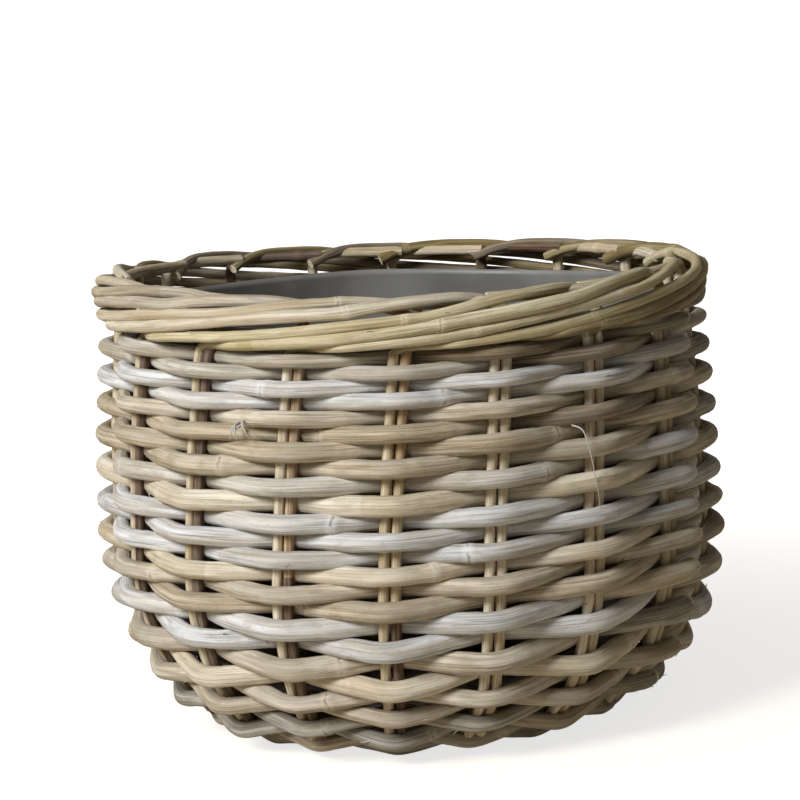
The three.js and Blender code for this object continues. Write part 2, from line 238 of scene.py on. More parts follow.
# %% [markdown]
# ## Rattan as geometry
# Rattan is a solid stem. It is never quite round or straight: it swells at its rings, has
# flat spots, and bends in kinks where it is forced round a stake. All the basket's rods share
# one Geometry Nodes group that puts such a skin round any path. It also writes where each
# point lies on its rod, so that the fibres of the material can follow the stem.

# %% Helpers for node trees
def connect(socket, value):
    """Links a socket to another one, or gives it a plain value."""
    if isinstance(value, bpy.types.NodeSocket):
        socket.id_data.links.new(value, socket)
    else:
        socket.default_value = value


def fill(node, values):
    for name, value in values.items():
        connect(node.inputs[name], value)


def add_node(tree, kind, values=None, **settings):
    node = tree.nodes.new(kind)
    for name, value in settings.items():
        setattr(node, name, value)
    fill(node, values or {})
    return node


def calc(operation, *values):
    """One Math node, in the tree of the first socket among its values."""
    sockets = [value for value in values if isinstance(value, bpy.types.NodeSocket)]
    node = add_node(sockets[0].id_data, "ShaderNodeMath", operation=operation)
    for socket, value in zip(node.inputs, values):
        connect(socket, value)
    return node.outputs[0]


def product(*values):
    """All of the values times each other, by a chain of Math nodes."""
    return functools.reduce(functools.partial(calc, "MULTIPLY"), values)


def total(*values):
    return functools.reduce(functools.partial(calc, "ADD"), values)


def minus(first, second):
    return calc("SUBTRACT", first, second)


def times_plus(value, factor, addend):
    return calc("MULTIPLY_ADD", value, factor, addend)


def ramp(value, low, high):
    """0 below low, 1 above high, smooth between."""
    values = {"Value": value, "From Min": low, "From Max": high}
    kind = "ShaderNodeMapRange"
    node = add_node(value.id_data, kind, values, interpolation_type="SMOOTHSTEP")
    return node.outputs["Result"]


def noise(place, seed, scale, detail):
    values = {"Vector": place, "W": seed, "Scale": scale, "Detail": detail}
    kind = "ShaderNodeTexNoise"
    return add_node(place.id_data, kind, values, noise_dimensions="4D").outputs[0]


def vector(x, y, z):
    return add_node(x.id_data, "ShaderNodeCombineXYZ", {0: x, 1: y, 2: z}).outputs[0]


def step(kind, geometry, values=None, **settings):
    """One geometry node, whose first input is the geometry that the step before made."""
    values = {0: geometry} | (values or {})
    return add_node(geometry.id_data, f"GeometryNode{kind}", values, **settings).outputs[0]


def new_tree(name, sizes, first=None):
    """An empty tree with a named input for each size. The first may be a geometry."""
    tree = bpy.data.node_groups.new(name, "GeometryNodeTree")

    def add_socket(label, kind, in_out="INPUT"):
        kind = f"NodeSocket{kind}"
        return tree.interface.new_socket(label, in_out=in_out, socket_type=kind)

    if first:
        add_socket(first, "Geometry")
    for label, usual in sizes.items():
        socket = add_socket(label, "Int" if isinstance(usual, int) else "Float")
        socket.default_value = usual
    add_socket("Finish", "Material")
    add_socket("Mesh", "Geometry", "OUTPUT")
    entry = tree.nodes.new("NodeGroupInput")
    leave = tree.nodes.new("NodeGroupOutput")
    return tree, entry.outputs, leave.inputs


NOISE_SPREAD = 3.2


def wobble(position, seed, scale, amount):
    """A smooth random number from -amount to amount along a path."""
    centred = minus(noise(position, seed, scale, 1.0), 0.5)
    return product(centred, product(amount, NOISE_SPREAD))


# %% The skin of a rattan rod
SKIN_SIZES = {
    "Thickness": 5 * MM,
    "Sides": 16,
    "Step": 2.4 * MM,
    "Lump": 0.085,
    "Ring Spacing": 340 * MM,
    "Ring Swell": 0.08,
    "Ring Stray": 0.12,
    "Seed": 0.0,
}
SEED_STEP = 0.618
RING_HALF_WIDTH = 5.5 * MM
# How many waves of unevenness a metre has: in the rings' places, the lumps and the dents.
RING_WAVES = 3.0
LUMP_WAVES = 26.0
DENT_WAVES = 95.0
DENT_DEPTH = 0.05


def store(geometry, name, value, **settings):
    """Writes a value into each point, where the material can read it by name."""
    return step("StoreNamedAttribute", geometry, {"Name": name, "Value": value}, **settings)


def build_skin_tree():
    tree, give, out = new_tree("rattan_skin", SKIN_SIZES, "Path")
    seed = give["Seed"]
    path = step("ResampleCurve", give["Path"], {"Length": give["Step"]}, mode="LENGTH")
    along = tree.nodes.new("GeometryNodeSplineParameter").outputs["Length"]
    position = tree.nodes.new("GeometryNodeInputPosition").outputs[0]
    stray = wobble(position, seed, RING_WAVES, give["Ring Stray"])
    rings = calc("DIVIDE", along, give["Ring Spacing"])
    rings = total(rings, product(seed, SEED_STEP), stray)
    from_ring = product(minus(calc("FRACT", rings), 0.5), give["Ring Spacing"])
    share = calc("DIVIDE", from_ring, RING_HALF_WIDTH)
    swell = calc("EXPONENT", product(share, share, -1.0))
    swell = product(swell, times_plus(share, 0.5, 1.0), give["Ring Swell"])
    lump = wobble(position, seed, LUMP_WAVES, give["Lump"])
    radius = tree.nodes.new("GeometryNodeInputRadius").outputs[0]
    scale = product(total(lump, swell, 1.0), radius, give["Thickness"])

    for name, value in (("along", along), ("rings", rings), ("rod_seed", seed)):
        path = store(path, name, value)
    values = {"Resolution": give["Sides"], "Radius": 1.0}
    circle = add_node(tree, "GeometryNodeCurvePrimitiveCircle", values).outputs["Curve"]
    around = store(circle, "around", position, data_type="FLOAT_VECTOR")
    values = {"Profile Curve": around, "Scale": scale, "Fill Caps": True}
    skin = step("CurveToMesh", path, values)
    normal = tree.nodes.new("GeometryNodeInputNormal").outputs[0]
    deepest = product(give["Thickness"], DENT_DEPTH)
    values = {0: normal, "Scale": wobble(position, seed, DENT_WAVES, deepest)}
    dent = add_node(tree, "ShaderNodeVectorMath", values, operation="SCALE").outputs[0]
    real = step("RealizeInstances", step("SetPosition", skin, {"Offset": dent}))
    connect(out[0], step("SetMaterial", real, {"Material": give["Finish"]}))
    return tree


skin_tree = build_skin_tree()
print("skin tree:", len(skin_tree.nodes), "nodes")


def pass_to_skin(give, path):
    """Adds the skin group to a path's tree, and hands on the sizes that both share."""
    values = {label: give[label] for label in (*SKIN_SIZES, "Finish")} | {"Path": path}
    return add_node(path.id_data, "GeometryNodeGroup", values, node_tree=skin_tree).outputs[0]


# %% [markdown]
# ## The path of a woven rod
# A row follows a rule: out over every second pair of stakes, in behind the ones between. As a
# number, that is a zigzag from 1 to -1. A rod can't turn in a point, so the zigzag's tips are
# cut off softly, which gives the short straight run over each pair of stakes and the nearly
# straight runs between them. A smooth minimum does that in one node.

# %% The tree of a woven rod
WEAVE_SIZES = {
    "Row Radius": 200 * MM,
    "Row Height": 100 * MM,
    "Swing Out": 1.0,
    "Swing Up": 0.0,
    "Reach": 9 * MM,
    "First Azimuth": 0.0,
    "Last Azimuth": 6.0,
    "Station Azimuth": 0.0,
    "Parity": 0.0,
    "Grip": 1.16,
    "Softness": 0.24,
    "Wander": 0.8 * MM,
    "Start Tuck": 0.0,
    "End Rise": 0.0,
}
# Between which turns, in radians from its ends, a rod comes back to its rule.
TUCK_TURN = (0.02, 0.2)
RISE_TURN = (0.0, 0.1)
WANDER_WAVES = 4.5
OTHER_SEED = 31.7


def build_weave_tree():
    tree, give, out = new_tree("woven_rod", WEAVE_SIZES | SKIN_SIZES)
    values = {"Start": (0, 0, 0), "End": (1, 0, 0)}
    line = add_node(tree, "GeometryNodeCurvePrimitiveLine", values)
    turn = minus(give["Last Azimuth"], give["First Azimuth"])
    length = product(turn, give["Row Radius"])
    count = calc("DIVIDE", length, give["Step"])
    dense = step("ResampleCurve", line.outputs[0], {"Count": count}, mode="COUNT")
    share = tree.nodes.new("GeometryNodeSplineParameter").outputs["Factor"]
    azimuth = times_plus(share, turn, give["First Azimuth"])
    phase = minus(azimuth, give["Station Azimuth"])
    phase = total(calc("DIVIDE", phase, STATION_STEP), give["Parity"])
    zigzag = times_plus(calc("PINGPONG", phase, 1.0), -2.0, 1.0)
    zigzag = product(zigzag, give["Grip"])
    swing = calc("SMOOTH_MIN", zigzag, 1.0, give["Softness"])
    swing = product(calc("SMOOTH_MAX", swing, -1.0, give["Softness"]), give["Reach"])
    from_start = minus(azimuth, give["First Azimuth"])
    from_end = minus(give["Last Azimuth"], azimuth)
    tuck = minus(1.0, ramp(from_start, *TUCK_TURN))
    rise = minus(1.0, ramp(from_end, *RISE_TURN))
    swing = minus(swing, product(tuck, give["Start Tuck"]))
    swing = total(swing, product(rise, give["End Rise"]))

    sine = calc("SINE", azimuth)
    cosine = calc("COSINE", azimuth)
    ring_place = vector(sine, cosine, give["Row Height"])
    aside = wobble(ring_place, give["Seed"], WANDER_WAVES, give["Wander"])
    other_seed = total(give["Seed"], OTHER_SEED)
    upwards = wobble(ring_place, other_seed, WANDER_WAVES, give["Wander"])
    radius = total(times_plus(swing, give["Swing Out"], give["Row Radius"]), aside)
    height = total(times_plus(swing, give["Swing Up"], give["Row Height"]), upwards)
    place = vector(product(radius, sine), product(radius, cosine, -1.0), height)
    bent = step("SetPosition", dense, {"Position": place})
    steady = step("SetCurveNormal", bent, mode="Z_UP")
    connect(out[0], pass_to_skin(give, step("SetCurveRadius", steady, {"Radius": 1.0})))
    return tree


weave_tree = build_weave_tree()
print("weave tree:", len(weave_tree.nodes), "nodes")

# %% [markdown]
# Stakes and base sticks follow no such rule. Each one gets a path of a few points, which the
# second tree rounds into a curve that passes through all of them.

# %% The tree of a rod along given points
def build_path_tree():
    tree, give, out = new_tree("rod_along_points", SKIN_SIZES, "Points")
    curve = step("MeshToCurve", give["Points"])
    rounded = step("CurveSplineType", curve, spline_type="CATMULL_ROM")
    fine = step("SetSplineResolution", rounded, {"Resolution": 12})
    connect(out[0], pass_to_skin(give, fine))
    return tree


path_tree = build_path_tree()


# %% Turn a tree's result into a plain mesh
def set_sizes(modifier, sizes):
    """Sets a modifier's inputs, by the identifier of each named socket."""
    for item in modifier.node_group.interface.items_tree:
        if item.item_type == "SOCKET" and item.in_out == "INPUT" and item.name in sizes:
            modifier[item.identifier] = sizes[item.name]


def grow(tree, sizes, host_mesh=None):
    """Runs one tree and returns its result as a mesh."""
    host_mesh = host_mesh or bpy.data.meshes.new("host")
    host = bpy.data.objects.new("host", host_mesh)
    scene.collection.objects.link(host)
    modifier = host.modifiers.new("tree", "NODES")
    modifier.node_group = tree
    set_sizes(modifier, sizes)
    bpy.context.view_layer.update()
    depsgraph = bpy.context.evaluated_depsgraph_get()
    mesh = bpy.data.meshes.new_from_object(host.evaluated_get(depsgraph))
    host.modifiers.remove(modifier)
    bpy.data.objects.remove(host)
    bpy.data.meshes.remove(host_mesh)
    return mesh


def points_mesh(points, fatness=None):
    """A chain of edges. fatness is each point's share of the rod's thickness."""
    mesh = bpy.data.meshes.new("points")
    mesh.from_pydata(points, [(i, i + 1) for i in range(len(points) - 1)], [])
    radius = mesh.attributes.new("radius", "FLOAT", "POINT")
    radius.data.foreach_set("value", fatness or [1.0] * len(points))
    return mesh


def join_meshes(name, meshes):
    """One object from several meshes, with every finish that they use."""
    parts = [bpy.data.objects.new(name, mesh) for mesh in meshes]
    for part in parts:
        scene.collection.objects.link(part)
    first = parts[0]
    if len(parts) > 1:
        with bpy.context.temp_override(active_object=first, selected_editable_objects=parts):
            bpy.ops.object.join()
    first.data.name = name
    shift_by_hand(first.data)
    return first


# %% [markdown]
# ## The finish of rattan
# Bare rattan shows its fibres as fine lengthwise streaks, lighter and darker. Old rods bleach
# to white or grey in patches, and a dark line marks each ring. The streaks are a noise that
# is stretched along the rod: the coordinates are the point's place on the rod's section and
# its distance along the rod, which the skin tree stored as attributes. The cut ends show pale
# pith.

# %% Build the rattan finishes
def linear(hex_colour):
    """A written sRGB colour as the linear numbers that a shader takes."""
    channels = []
    for start in (0, 2, 4):
        value = int(hex_colour[start:start + 2], 16) / 255
        channels.append(value / 12.92 if value <= 0.04045 else ((value + 0.055) / 1.055) ** 2.4)
    return (*channels, 1.0)


def mix_colour(share, first, second):
    """The sockets have numbers here, because three pairs of them are called A and B."""
    values = {0: share, 6: first, 7: second}
    return add_node(share.id_data, "ShaderNodeMix", values, data_type="RGBA").outputs[2]


def new_finish(name):
    """A material, its tree, and the surface that every finish here is built on."""
    material = bpy.data.materials.new(name)
    material.use_nodes = True
    return material, material.node_tree, material.node_tree.nodes["Principled BSDF"]


def bump(height, strength, distance):
    values = {"Strength": strength, "Distance": distance, "Height": height}
    return add_node(height.id_data, "ShaderNodeBump", values).outputs[0]


# Each layer of a rod's colour is a noise. In order: its waves in a turn and in a metre, its
# detail, the values where it starts to show and is full, how much it covers, and its tone.
# The patches cover as much as the finish says.
LAYERS = {
    "fibres": (9.0, 22.0, 3.0, 0.34, 0.58, 1.0, "middle"),
    "bands": (2.2, 17.0, 2.0, 0.42, 0.64, 0.75, "light"),
    "patches": (0.8, 12.0, 2.0, 0.46, 0.6, None, "patch"),
    "mottle": (1.5, 75.0, 4.0, 0.48, 0.68, 0.36, "dark"),
    "specks": (14.0, 260.0, 2.0, 0.62, 0.74, 0.5, "speck"),
    "streaks": (20.0, 7.0, 3.0, 0.55, 0.68, 0.36, "dark"),
}
# How much some of the layers raise or lower the surface, on top of the fibres.
RELIEF = {"bands": 0.4, "mottle": 0.6, "streaks": -0.5}
SPECK = "54463a"
SHIFT_BY_SEED = 3.7
ROUGHNESS = 0.65
SHINE = 0.12
# How a random number from 0 to 1 changes the piece between two rings: factor and addend.
PIECE_VALUE = (0.2, 0.88)
PIECE_SATURATION = (-0.3, 1.15)
# A ring's line and pale collar: lengths are shares of the way from one ring to the next.
RING_LINE = "5c4938"
LINE_JAG = 0.022
LINE_FADES = (0.0006, 0.0042)
LINE_BREAKS = (0.42, 0.6)
LINE_COVER = 0.55
LINE_DEPTH = 0.4
COLLAR_FADES = (0.004, 0.016)
COLLAR_COVER = 0.35


def rattan_finish(name, light, middle, dark, patch, patch_amount):
    material, tree, surface = new_finish(name)
    tones = {"light": light, "middle": middle, "dark": dark, "patch": patch, "speck": SPECK}

    def attribute(label, socket):
        node = tree.nodes.new("ShaderNodeAttribute")
        node.attribute_name = label
        return node.outputs[socket]

    around = add_node(tree, "ShaderNodeSeparateXYZ", {0: attribute("around", "Vector")})
    along = attribute("along", "Fac")
    shift = product(attribute("rod_seed", "Fac"), SHIFT_BY_SEED)

    def stem_noise(across, lengthwise, detail=2.0):
        """Noise with so many waves in a turn across, and in a metre along."""
        x, y = (product(around.outputs[axis], across) for axis in (0, 1))
        return noise(vector(x, y, product(along, lengthwise)), shift, 1.0, detail)

    noises = {}
    colour = linear(dark)
    for layer, (across, lengthwise, detail, low, high, amount, tone) in LAYERS.items():
        noises[layer] = stem_noise(across, lengthwise, detail)
        share = ramp(noises[layer], low, high)
        share = product(share, patch_amount if amount is None else amount)
        colour = mix_colour(share, colour, linear(tones[tone]))

    # From one ring to the next, the stem is a little darker or lighter.
    ring_place = attribute("rings", "Fac")
    values = {"W": total(calc("FLOOR", ring_place), shift)}
    piece = add_node(tree, "ShaderNodeTexWhiteNoise", values, noise_dimensions="1D")
    piece = piece.outputs["Value"]
    values = {
        "Value": times_plus(piece, *PIECE_VALUE),
        "Saturation": times_plus(piece, *PIECE_SATURATION),
        "Color": colour,
    }
    colour = add_node(tree, "ShaderNodeHueSaturation", values).outputs[0]

    # Each ring is a thin broken dark line with a pale collar.
    rings = minus(calc("FRACT", ring_place), 0.5)
    jag = product(minus(stem_noise(1.6, 9.0), 0.5), LINE_JAG)
    from_ring = calc("ABSOLUTE", total(rings, jag))
    line = minus(1.0, ramp(from_ring, *LINE_FADES))
    line = product(line, ramp(noises["mottle"], *LINE_BREAKS))
    collar = product(minus(1.0, ramp(from_ring, *COLLAR_FADES)), COLLAR_COVER)
    colour = mix_colour(collar, colour, linear(light))
    colour = mix_colour(product(line, LINE_COVER), colour, linear(RING_LINE))

    relief = noises["fibres"]
    for layer, amount in RELIEF.items():
        relief = times_plus(noises[layer], amount, relief)
    relief = minus(relief, product(line, LINE_DEPTH))
    rough = times_plus(noises["mottle"], 0.3, ROUGHNESS)
    fill(surface, {"Base Color": colour, "Roughness": rough, "Specular IOR Level": SHINE})
    connect(surface.inputs["Normal"], bump(relief, strength=0.6, distance=0.7 * MM))
    return material


# Each kind of rod: its light, middle and dark tone, its patches' tone, and their cover.
TONES = {
    "bleached": ("e8e8e7", "cfcdca", "9a958e", "b9a88f", 0.38),
    "ash": ("d9d3c9", "bfb7a9", "8f8576", "a6967e", 0.45),
    "grey": ("c4bdb2", "a19a8e", "726a5f", "8f8066", 0.5),
    "tan": ("d9ccb8", "bbad95", "8a7a61", "a79d8d", 0.55),
    "cream": ("e5dbc8", "d0c4ad", "a3947c", "b8a484", 0.45),
    "brown": ("ab9a82", "85755d", "5b4d3c", "8d867a", 0.5),
    "honey": ("e6dcbf", "cabe9b", "998862", "ae9b72", 0.5),
    "olive": ("c5b792", "998865", "625336", "82714c", 0.5),
    "stake": ("ede1ca", "d8c8a9", "a38c6c", "c1ab86", 0.45),
    "rust": ("d2bb9b", "b29470", "82654b", "bfa684", 0.5),
    "bark": ("8a7668", "64503f", "44342a", "957f63", 0.35),
}
finishes = {tone: rattan_finish(f"rattan_{tone}", *look) for tone, look in TONES.items()}
print("finishes:", ", ".join(finishes))


# %% [markdown]
# The pith of a cut end is pale and dull, with pores. It goes on the flat caps, which are the
# only faces with more than four corners.

# %% The cut ends
def clouds(tree, scale, detail):
    """Even noise in all directions, which lies still on the piece."""
    place = tree.nodes.new("ShaderNodeTexCoord").outputs["Object"]
    values = {"Vector": place, "Scale": scale, "Detail": detail}
    return add_node(tree, "ShaderNodeTexNoise", values).outputs[0]


def pith_finish():
    material, tree, surface = new_finish("rattan_pith")
    share = ramp(clouds(tree, scale=1500.0, detail=2.0), 0.4, 0.6)
    colour = mix_colour(share, linear("a8997c"), linear("e8dcc0"))
    fill(surface, {"Base Color": colour, "Roughness": 0.85})
    return material


pith = pith_finish()


def smooth_rod(mesh, finish):
    """Rounds the shading of a rod's side and gives its flat ends the pith."""
    mesh.materials.clear()
    mesh.materials.append(finish)
    mesh.materials.append(pith)
    corners = np.empty(len(mesh.polygons), dtype=np.int32)
    mesh.polygons.foreach_get("loop_total", corners)
    is_end = corners > 4
    mesh.polygons.foreach_set("use_smooth", ~is_end)
    mesh.polygons.foreach_set("material_index", is_end.astype(np.int32))
    mesh.update()
    return mesh


def rod_along(points, sizes, tone, fatness=None):
    mesh = grow(path_tree, sizes, points_mesh(points, fatness))
    return smooth_rod(mesh, finishes[tone])


# %% [markdown]
# ## Weaving the rows
# A rod is a metre or so long, so each row takes two of them, and where one ends another tone
# begins. Most ends are hidden behind a pair of stakes. On the right of the front, the rows
# that lie outside there show their cut end beside the stakes, and the next rod starts
# underneath it, nearer the wall. The rows are listed from the top, with the tone of the rod
# that starts there, the station behind which it ends, and the tone of the next one.

# %% Choose the rods of each row
# How much of each row's swing is kept, and how thick its rods are, in millimetres.
SWING_SHARE = [(0, 0.8), (20, 0.8), (23, 0.65), (25, 0.5)]
WEAVER_LOOKS = [
    (0, 5.7), (4, 5.8), (10, 6.1), (15, 6.4), (19, 6.4), (22, 5.5), (24, 4.5), (25, 4.3),
]
ROW_RODS = [
    ("ash", -1, "brown"), ("ash", 0, "brown"), ("bleached", -7, "bleached"),
    ("grey", -6, "bleached"), ("tan", -8, "tan"), ("tan", 0, "brown"),
    ("brown", -7, "tan"), ("grey", -6, "tan"), ("ash", 1, "bleached"),
    ("tan", -8, "cream"), ("ash", -7, "bleached"), ("bleached", -6, "bleached"),
    ("cream", -7, "bleached"), ("tan", -8, "cream"), ("tan", -7, "tan"),
    ("brown", -6, "tan"), ("bleached", 1, "cream"), ("tan", -8, "bleached"),
    ("tan", 1, "grey"), ("bleached", -6, "cream"), ("tan", -5, "tan"),
    ("cream", -7, "tan"), ("tan", -6, "grey"), ("grey", 0, "tan"),
    ("brown", -6, "tan"), ("tan", -7, "tan"),
]
JOINT_STATION = 3


def by_row(table, n):
    return float(np.interp(n, *zip(*table)))


def front_or_back(n, station):
    """1 where row n lies outside the stakes of a station, -1 where it lies inside."""
    return 1 if (station + n + 1) % 2 == 0 else -1


# %% [markdown]
# Where a rod was cut or bent hard, thin fibres stand off it. Each one starts on a point of
# the rod's own surface and lifts off along it.

# %% Fibres that stand off a rod
FIBRE_THICKNESS = 0.35 * MM
FIBRE_ROOT = 0.6 * MM
FIBRE_SLANT = 0.35
FIBRE_BOW = 0.25
# A fibre's points after its root: shares of its lift, its length and its bow.
FIBRE_POINTS = [(0.2, 0.35, 0.0), (0.6, 0.7, 0.5), (1.0, 1.0, 1.0)]
# A point is on the outside where its place times its normal is more than this.
OUTSIDE = 0.1
# How far the fibres and the torn skin reach from a cut end, in radians.
FRAYED_TURN = 0.014
TORN_TURN = 0.013


def fibre(place, normal, chance, length, lift):
    """One thin fibre that leaves the surface along the row, upwards or downwards a little."""
    azimuth = math.atan2(place[0], -place[1])
    slant = chance.uniform(-FIBRE_SLANT, FIBRE_SLANT)
    sideways = Vector((math.cos(azimuth), math.sin(azimuth), slant)) * chance.choice((-1, 1, 1))
    place = Vector(place)
    normal = Vector(normal)
    bow = Vector((0, 0, chance.uniform(-FIBRE_BOW, FIBRE_BOW))) * length
    points = [place - FIBRE_ROOT * normal]
    for up, onwards, bent in FIBRE_POINTS:
        points.append(place + up * lift * normal + onwards * length * sideways + bent * bow)
    sizes = {
        "Thickness": FIBRE_THICKNESS,
        "Sides": 5,
        "Step": 1.2 * MM,
        "Seed": chance.uniform(0, 90),
        "Lump": 0.15,
        "Ring Swell": 0.0,
    }
    tone = chance.choice(("bleached", "cream", "cream", "tan"))
    return rod_along(points, sizes, tone, [1.3, 1.0, 0.7, 0.25])


def stray_fibres(mesh, count, chance, longest=9, lifts=(0.4, 1.6), near=None):
    """Fibres at random places on the outside of a rod, or only near one azimuth."""
    places = vertex_numbers(mesh)
    normals = vertex_numbers(mesh, "normal")
    outward = normals[:, 0] * places[:, 0] + normals[:, 1] * places[:, 1]
    fits = outward > OUTSIDE
    if near is not None:
        apart = np.abs(np.arctan2(places[:, 0], -places[:, 1]) - near)
        fits = (apart < FRAYED_TURN) & (outward > 0)
    candidates = np.flatnonzero(fits)
    grown = []
    for _ in range(count):
        i = candidates[chance.randrange(len(candidates))]
        length = chance.uniform(3, longest) * MM
        grown.append(fibre(places[i], normals[i], chance, length, chance.uniform(*lifts) * MM))
    return grown


def mark_torn_end(mesh, azimuth):
    """The last millimetres of a rod that was cut off are torn and pale."""
    for face in mesh.polygons:
        apart = azimuth - math.atan2(face.center.x, -face.center.y)
        if 0 < apart < TORN_TURN:
            face.material_index = 1


# %% Fibres where a rod has split
SPLIT_HEIGHT = 224 * MM
SPLIT_THICKNESS = 0.6 * MM
LONG_FIBRE_HEIGHT = 212 * MM
LONG_FIBRE_THICKNESS = 0.42 * MM
# The stops of the one long fibre at the right: degrees, radius and height in millimetres.
LONG_FIBRE = [
    (31.2, 205, 213.5), (32.2, 212, 210), (33.0, 215, 195), (33.9, 214, 182),
    (34.6, 213.5, 171), (35.4, 211, 162),
]


def nearest_row(height):
    return min(range(ROW_COUNT), key=lambda n: abs(rows[n]["height"] - height))


def split_stops(chance):
    """Where a rod has split at the left of the front, four fibres hang down."""
    fans = []
    for i in range(4):
        turn = -30.5 + chance.uniform(-0.6, 0.6)
        spread = 1.3 * (i - 1.5) + chance.uniform(-0.4, 0.4)
        end = 217.5 + chance.uniform(-2.5, 2)
        fans.append([
            (turn, 205, 225.5 + 0.6 * i), (turn + 0.3 * spread, 210.5, 223.5 + i),
            (turn + 0.7 * spread, 212, 221), (turn + 0.9 * spread, 211, end),
        ])
    return fans


def thin_fibre(stops, thickness):
    """A fibre along stops like those of LONG_FIBRE."""
    points = [polar(radius * MM, math.radians(turn), z * MM) for turn, radius, z in stops]
    sizes = {"Thickness": thickness, "Sides": 6, "Step": 1.5 * MM, "Lump": 0.1, "Ring Swell": 0.0}
    return rod_along(points, sizes, "bleached", list(np.linspace(1.3, 0.4, len(points))))


# %% Weave
# How far a rod goes on past a hidden joint, in radians.
JOINT_LAP = 0.04
CHANGE_LAP = 0.03
# Where a joint is seen, the rod above ends a few degrees past the stakes and stands off a
# little, and the one under it starts just behind the joint and nearer the wall.
SEEN_END = (3.5, 6.5)
SEEN_START = 0.02
END_RISE = 3.5 * MM
TUCK_UNDER = 9 * MM
TUCK_BEHIND = 2 * MM
SMOOTHER_ROWS = 20
SPLIT_ROW = nearest_row(SPLIT_HEIGHT)
LONG_FIBRE_ROW = nearest_row(LONG_FIBRE_HEIGHT)


def woven_rod(n, first, last, tone, seed, tuck, rise=0.0):
    row = rows[n]
    unevenness = 0.95 + 0.1 * math.modf(seed * SEED_STEP)[0]
    sizes = {
        "Row Radius": row["radius"],
        "Row Height": row["height"],
        "Swing Out": row["out_r"],
        "Swing Up": row["out_z"],
        "Reach": row["reach"] * by_row(SWING_SHARE, n),
        "First Azimuth": first,
        "Last Azimuth": last,
        "Station Azimuth": station_azimuth(0, row["height"]),
        "Parity": float((n + 1) % 2),
        "Thickness": by_row(WEAVER_LOOKS, n) * MM * unevenness,
        "Seed": seed,
        "Start Tuck": tuck,
        "End Rise": rise,
    }
    mesh = smooth_rod(grow(weave_tree, sizes), finishes[tone])
    if rise:
        mark_torn_end(mesh, last)
    return mesh


chance = random.Random(7)
weavers = []
for n, (first_tone, change, second_tone) in enumerate(ROW_RODS):
    if front_or_back(n, change) > 0:
        change += 1
    change_azimuth = station_azimuth(change, rows[n]["height"])
    joint = station_azimuth(JOINT_STATION, rows[n]["height"])
    start, end = joint - FULL_TURN - JOINT_LAP, joint + JOINT_LAP
    tuck, rise = TUCK_BEHIND, 0.0
    if front_or_back(n, JOINT_STATION) > 0 and n < STAKE_ROWS - 1:
        start = joint - FULL_TURN + SEEN_START
        end = joint + math.radians(chance.uniform(*SEEN_END))
        tuck, rise = TUCK_UNDER, END_RISE
    seed = 10.0 + 3 * n
    rods = [
        woven_rod(n, start, change_azimuth + CHANGE_LAP, first_tone, seed, tuck),
        woven_rod(n, change_azimuth - CHANGE_LAP, end, second_tone, seed + 1, TUCK_BEHIND, rise),
    ]
    fibres = stray_fibres(rods[0], 4 if n < SMOOTHER_ROWS else 1, chance)
    fibres += stray_fibres(rods[1], 2, chance)
    if rise:
        fibres += stray_fibres(rods[1], 9, chance, 8, (0.5, 2.5), near=end)
    if n == SPLIT_ROW:
        fibres += [thin_fibre(stops, SPLIT_THICKNESS) for stops in split_stops(chance)]
    if n == LONG_FIBRE_ROW:
        fibres.append(thin_fibre(LONG_FIBRE, LONG_FIBRE_THICKNESS))
    weaver = join_meshes(f"rod_row_{n + 1:02d}", rods + fibres)
    weavers.append(weaver)
    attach(weaver, "root")
    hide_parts(f"weaver_row_{n + 1:02d}")
print("woven rows:", len(weavers), "with", sum(len(w.data.polygons) for w in weavers), "faces")

# %% [markdown]
# ## Stakes and border
# Each station has two thin stakes side by side. At the top, the left one turns to the right
# and climbs along the outside over the next four stations, and then tucks in over the rim.
# The right one rises behind the others and turns to the left, with its cut end inside.

# %% Draw the stakes' paths
RIM_RADIUS = 192 * MM
RIM_HEIGHT = 276 * MM
STAKE_RADIUS = 3.4 * MM
STAKE_TIP_DROP = 8 * MM
PAIR_HALF = 3.9 * MM
TAIL_CLIMB = 6.4 * MM
TAIL_STEP_UP = 2.4 * MM
TAIL_OUTSET = 12.5 * MM
TAIL_FLARE = 2 * MM
TAIL_SWAY = 0.9 * MM
# How many stations along a tail is out, parts from its neighbour, turns in and ends.
TAIL_IS_OUT_AT = 0.55
TAIL_PARTS_AT = 1.5
TAIL_TURN = 3.5
TAIL_END = 4.3
# Its points lie close together where it bends, and then further apart, in stations.
FIRST_POINT = 0.12
CLOSE_STEP = 0.19
CLOSE_UNTIL = 0.6
WIDE_STEP = 0.365
BORDER_TOP = 306.3 * MM
BACK_SAG = 2 * MM
# The sag begins where the cosine of the turn from the front is this.
SAG_BEGINS = 0.6
TOP_ROD_HEIGHT = 304 * MM
TOP_ROD_INSET = 7.5 * MM
TOP_ROD_REACH = 1.07
TOP_ROD_MIDDLE = 0.6
# How a left stake goes in over the rim: stations past its turn, millimetres outwards from
# the rim, and millimetres below the border's top.
OVER_THE_RIM = [
    (0.1, 13, 5), (0.45, 10, 1.5), (0.8, 5, 0), (1.15, -1, 0), (1.45, -6.5, 3), (1.7, -10, 9),
]

wall_points = [(row["radius"], row["height"]) for row in rows[:STAKE_ROWS]]


def tail_height(along):
    parted = min(max(along - TAIL_PARTS_AT, 0.0), 1.0)
    return RIM_HEIGHT + TAIL_CLIMB * along + TAIL_STEP_UP * parted


def tail_outset(along):
    return TAIL_OUTSET * smooth_share(along / TAIL_IS_OUT_AT) + TAIL_FLARE * along / TAIL_TURN


def back_sag(station):
    """The rim is a little lower at the back than at the front."""
    return BACK_SAG * smooth_share(SAG_BEGINS - math.cos(station * STATION_STEP))


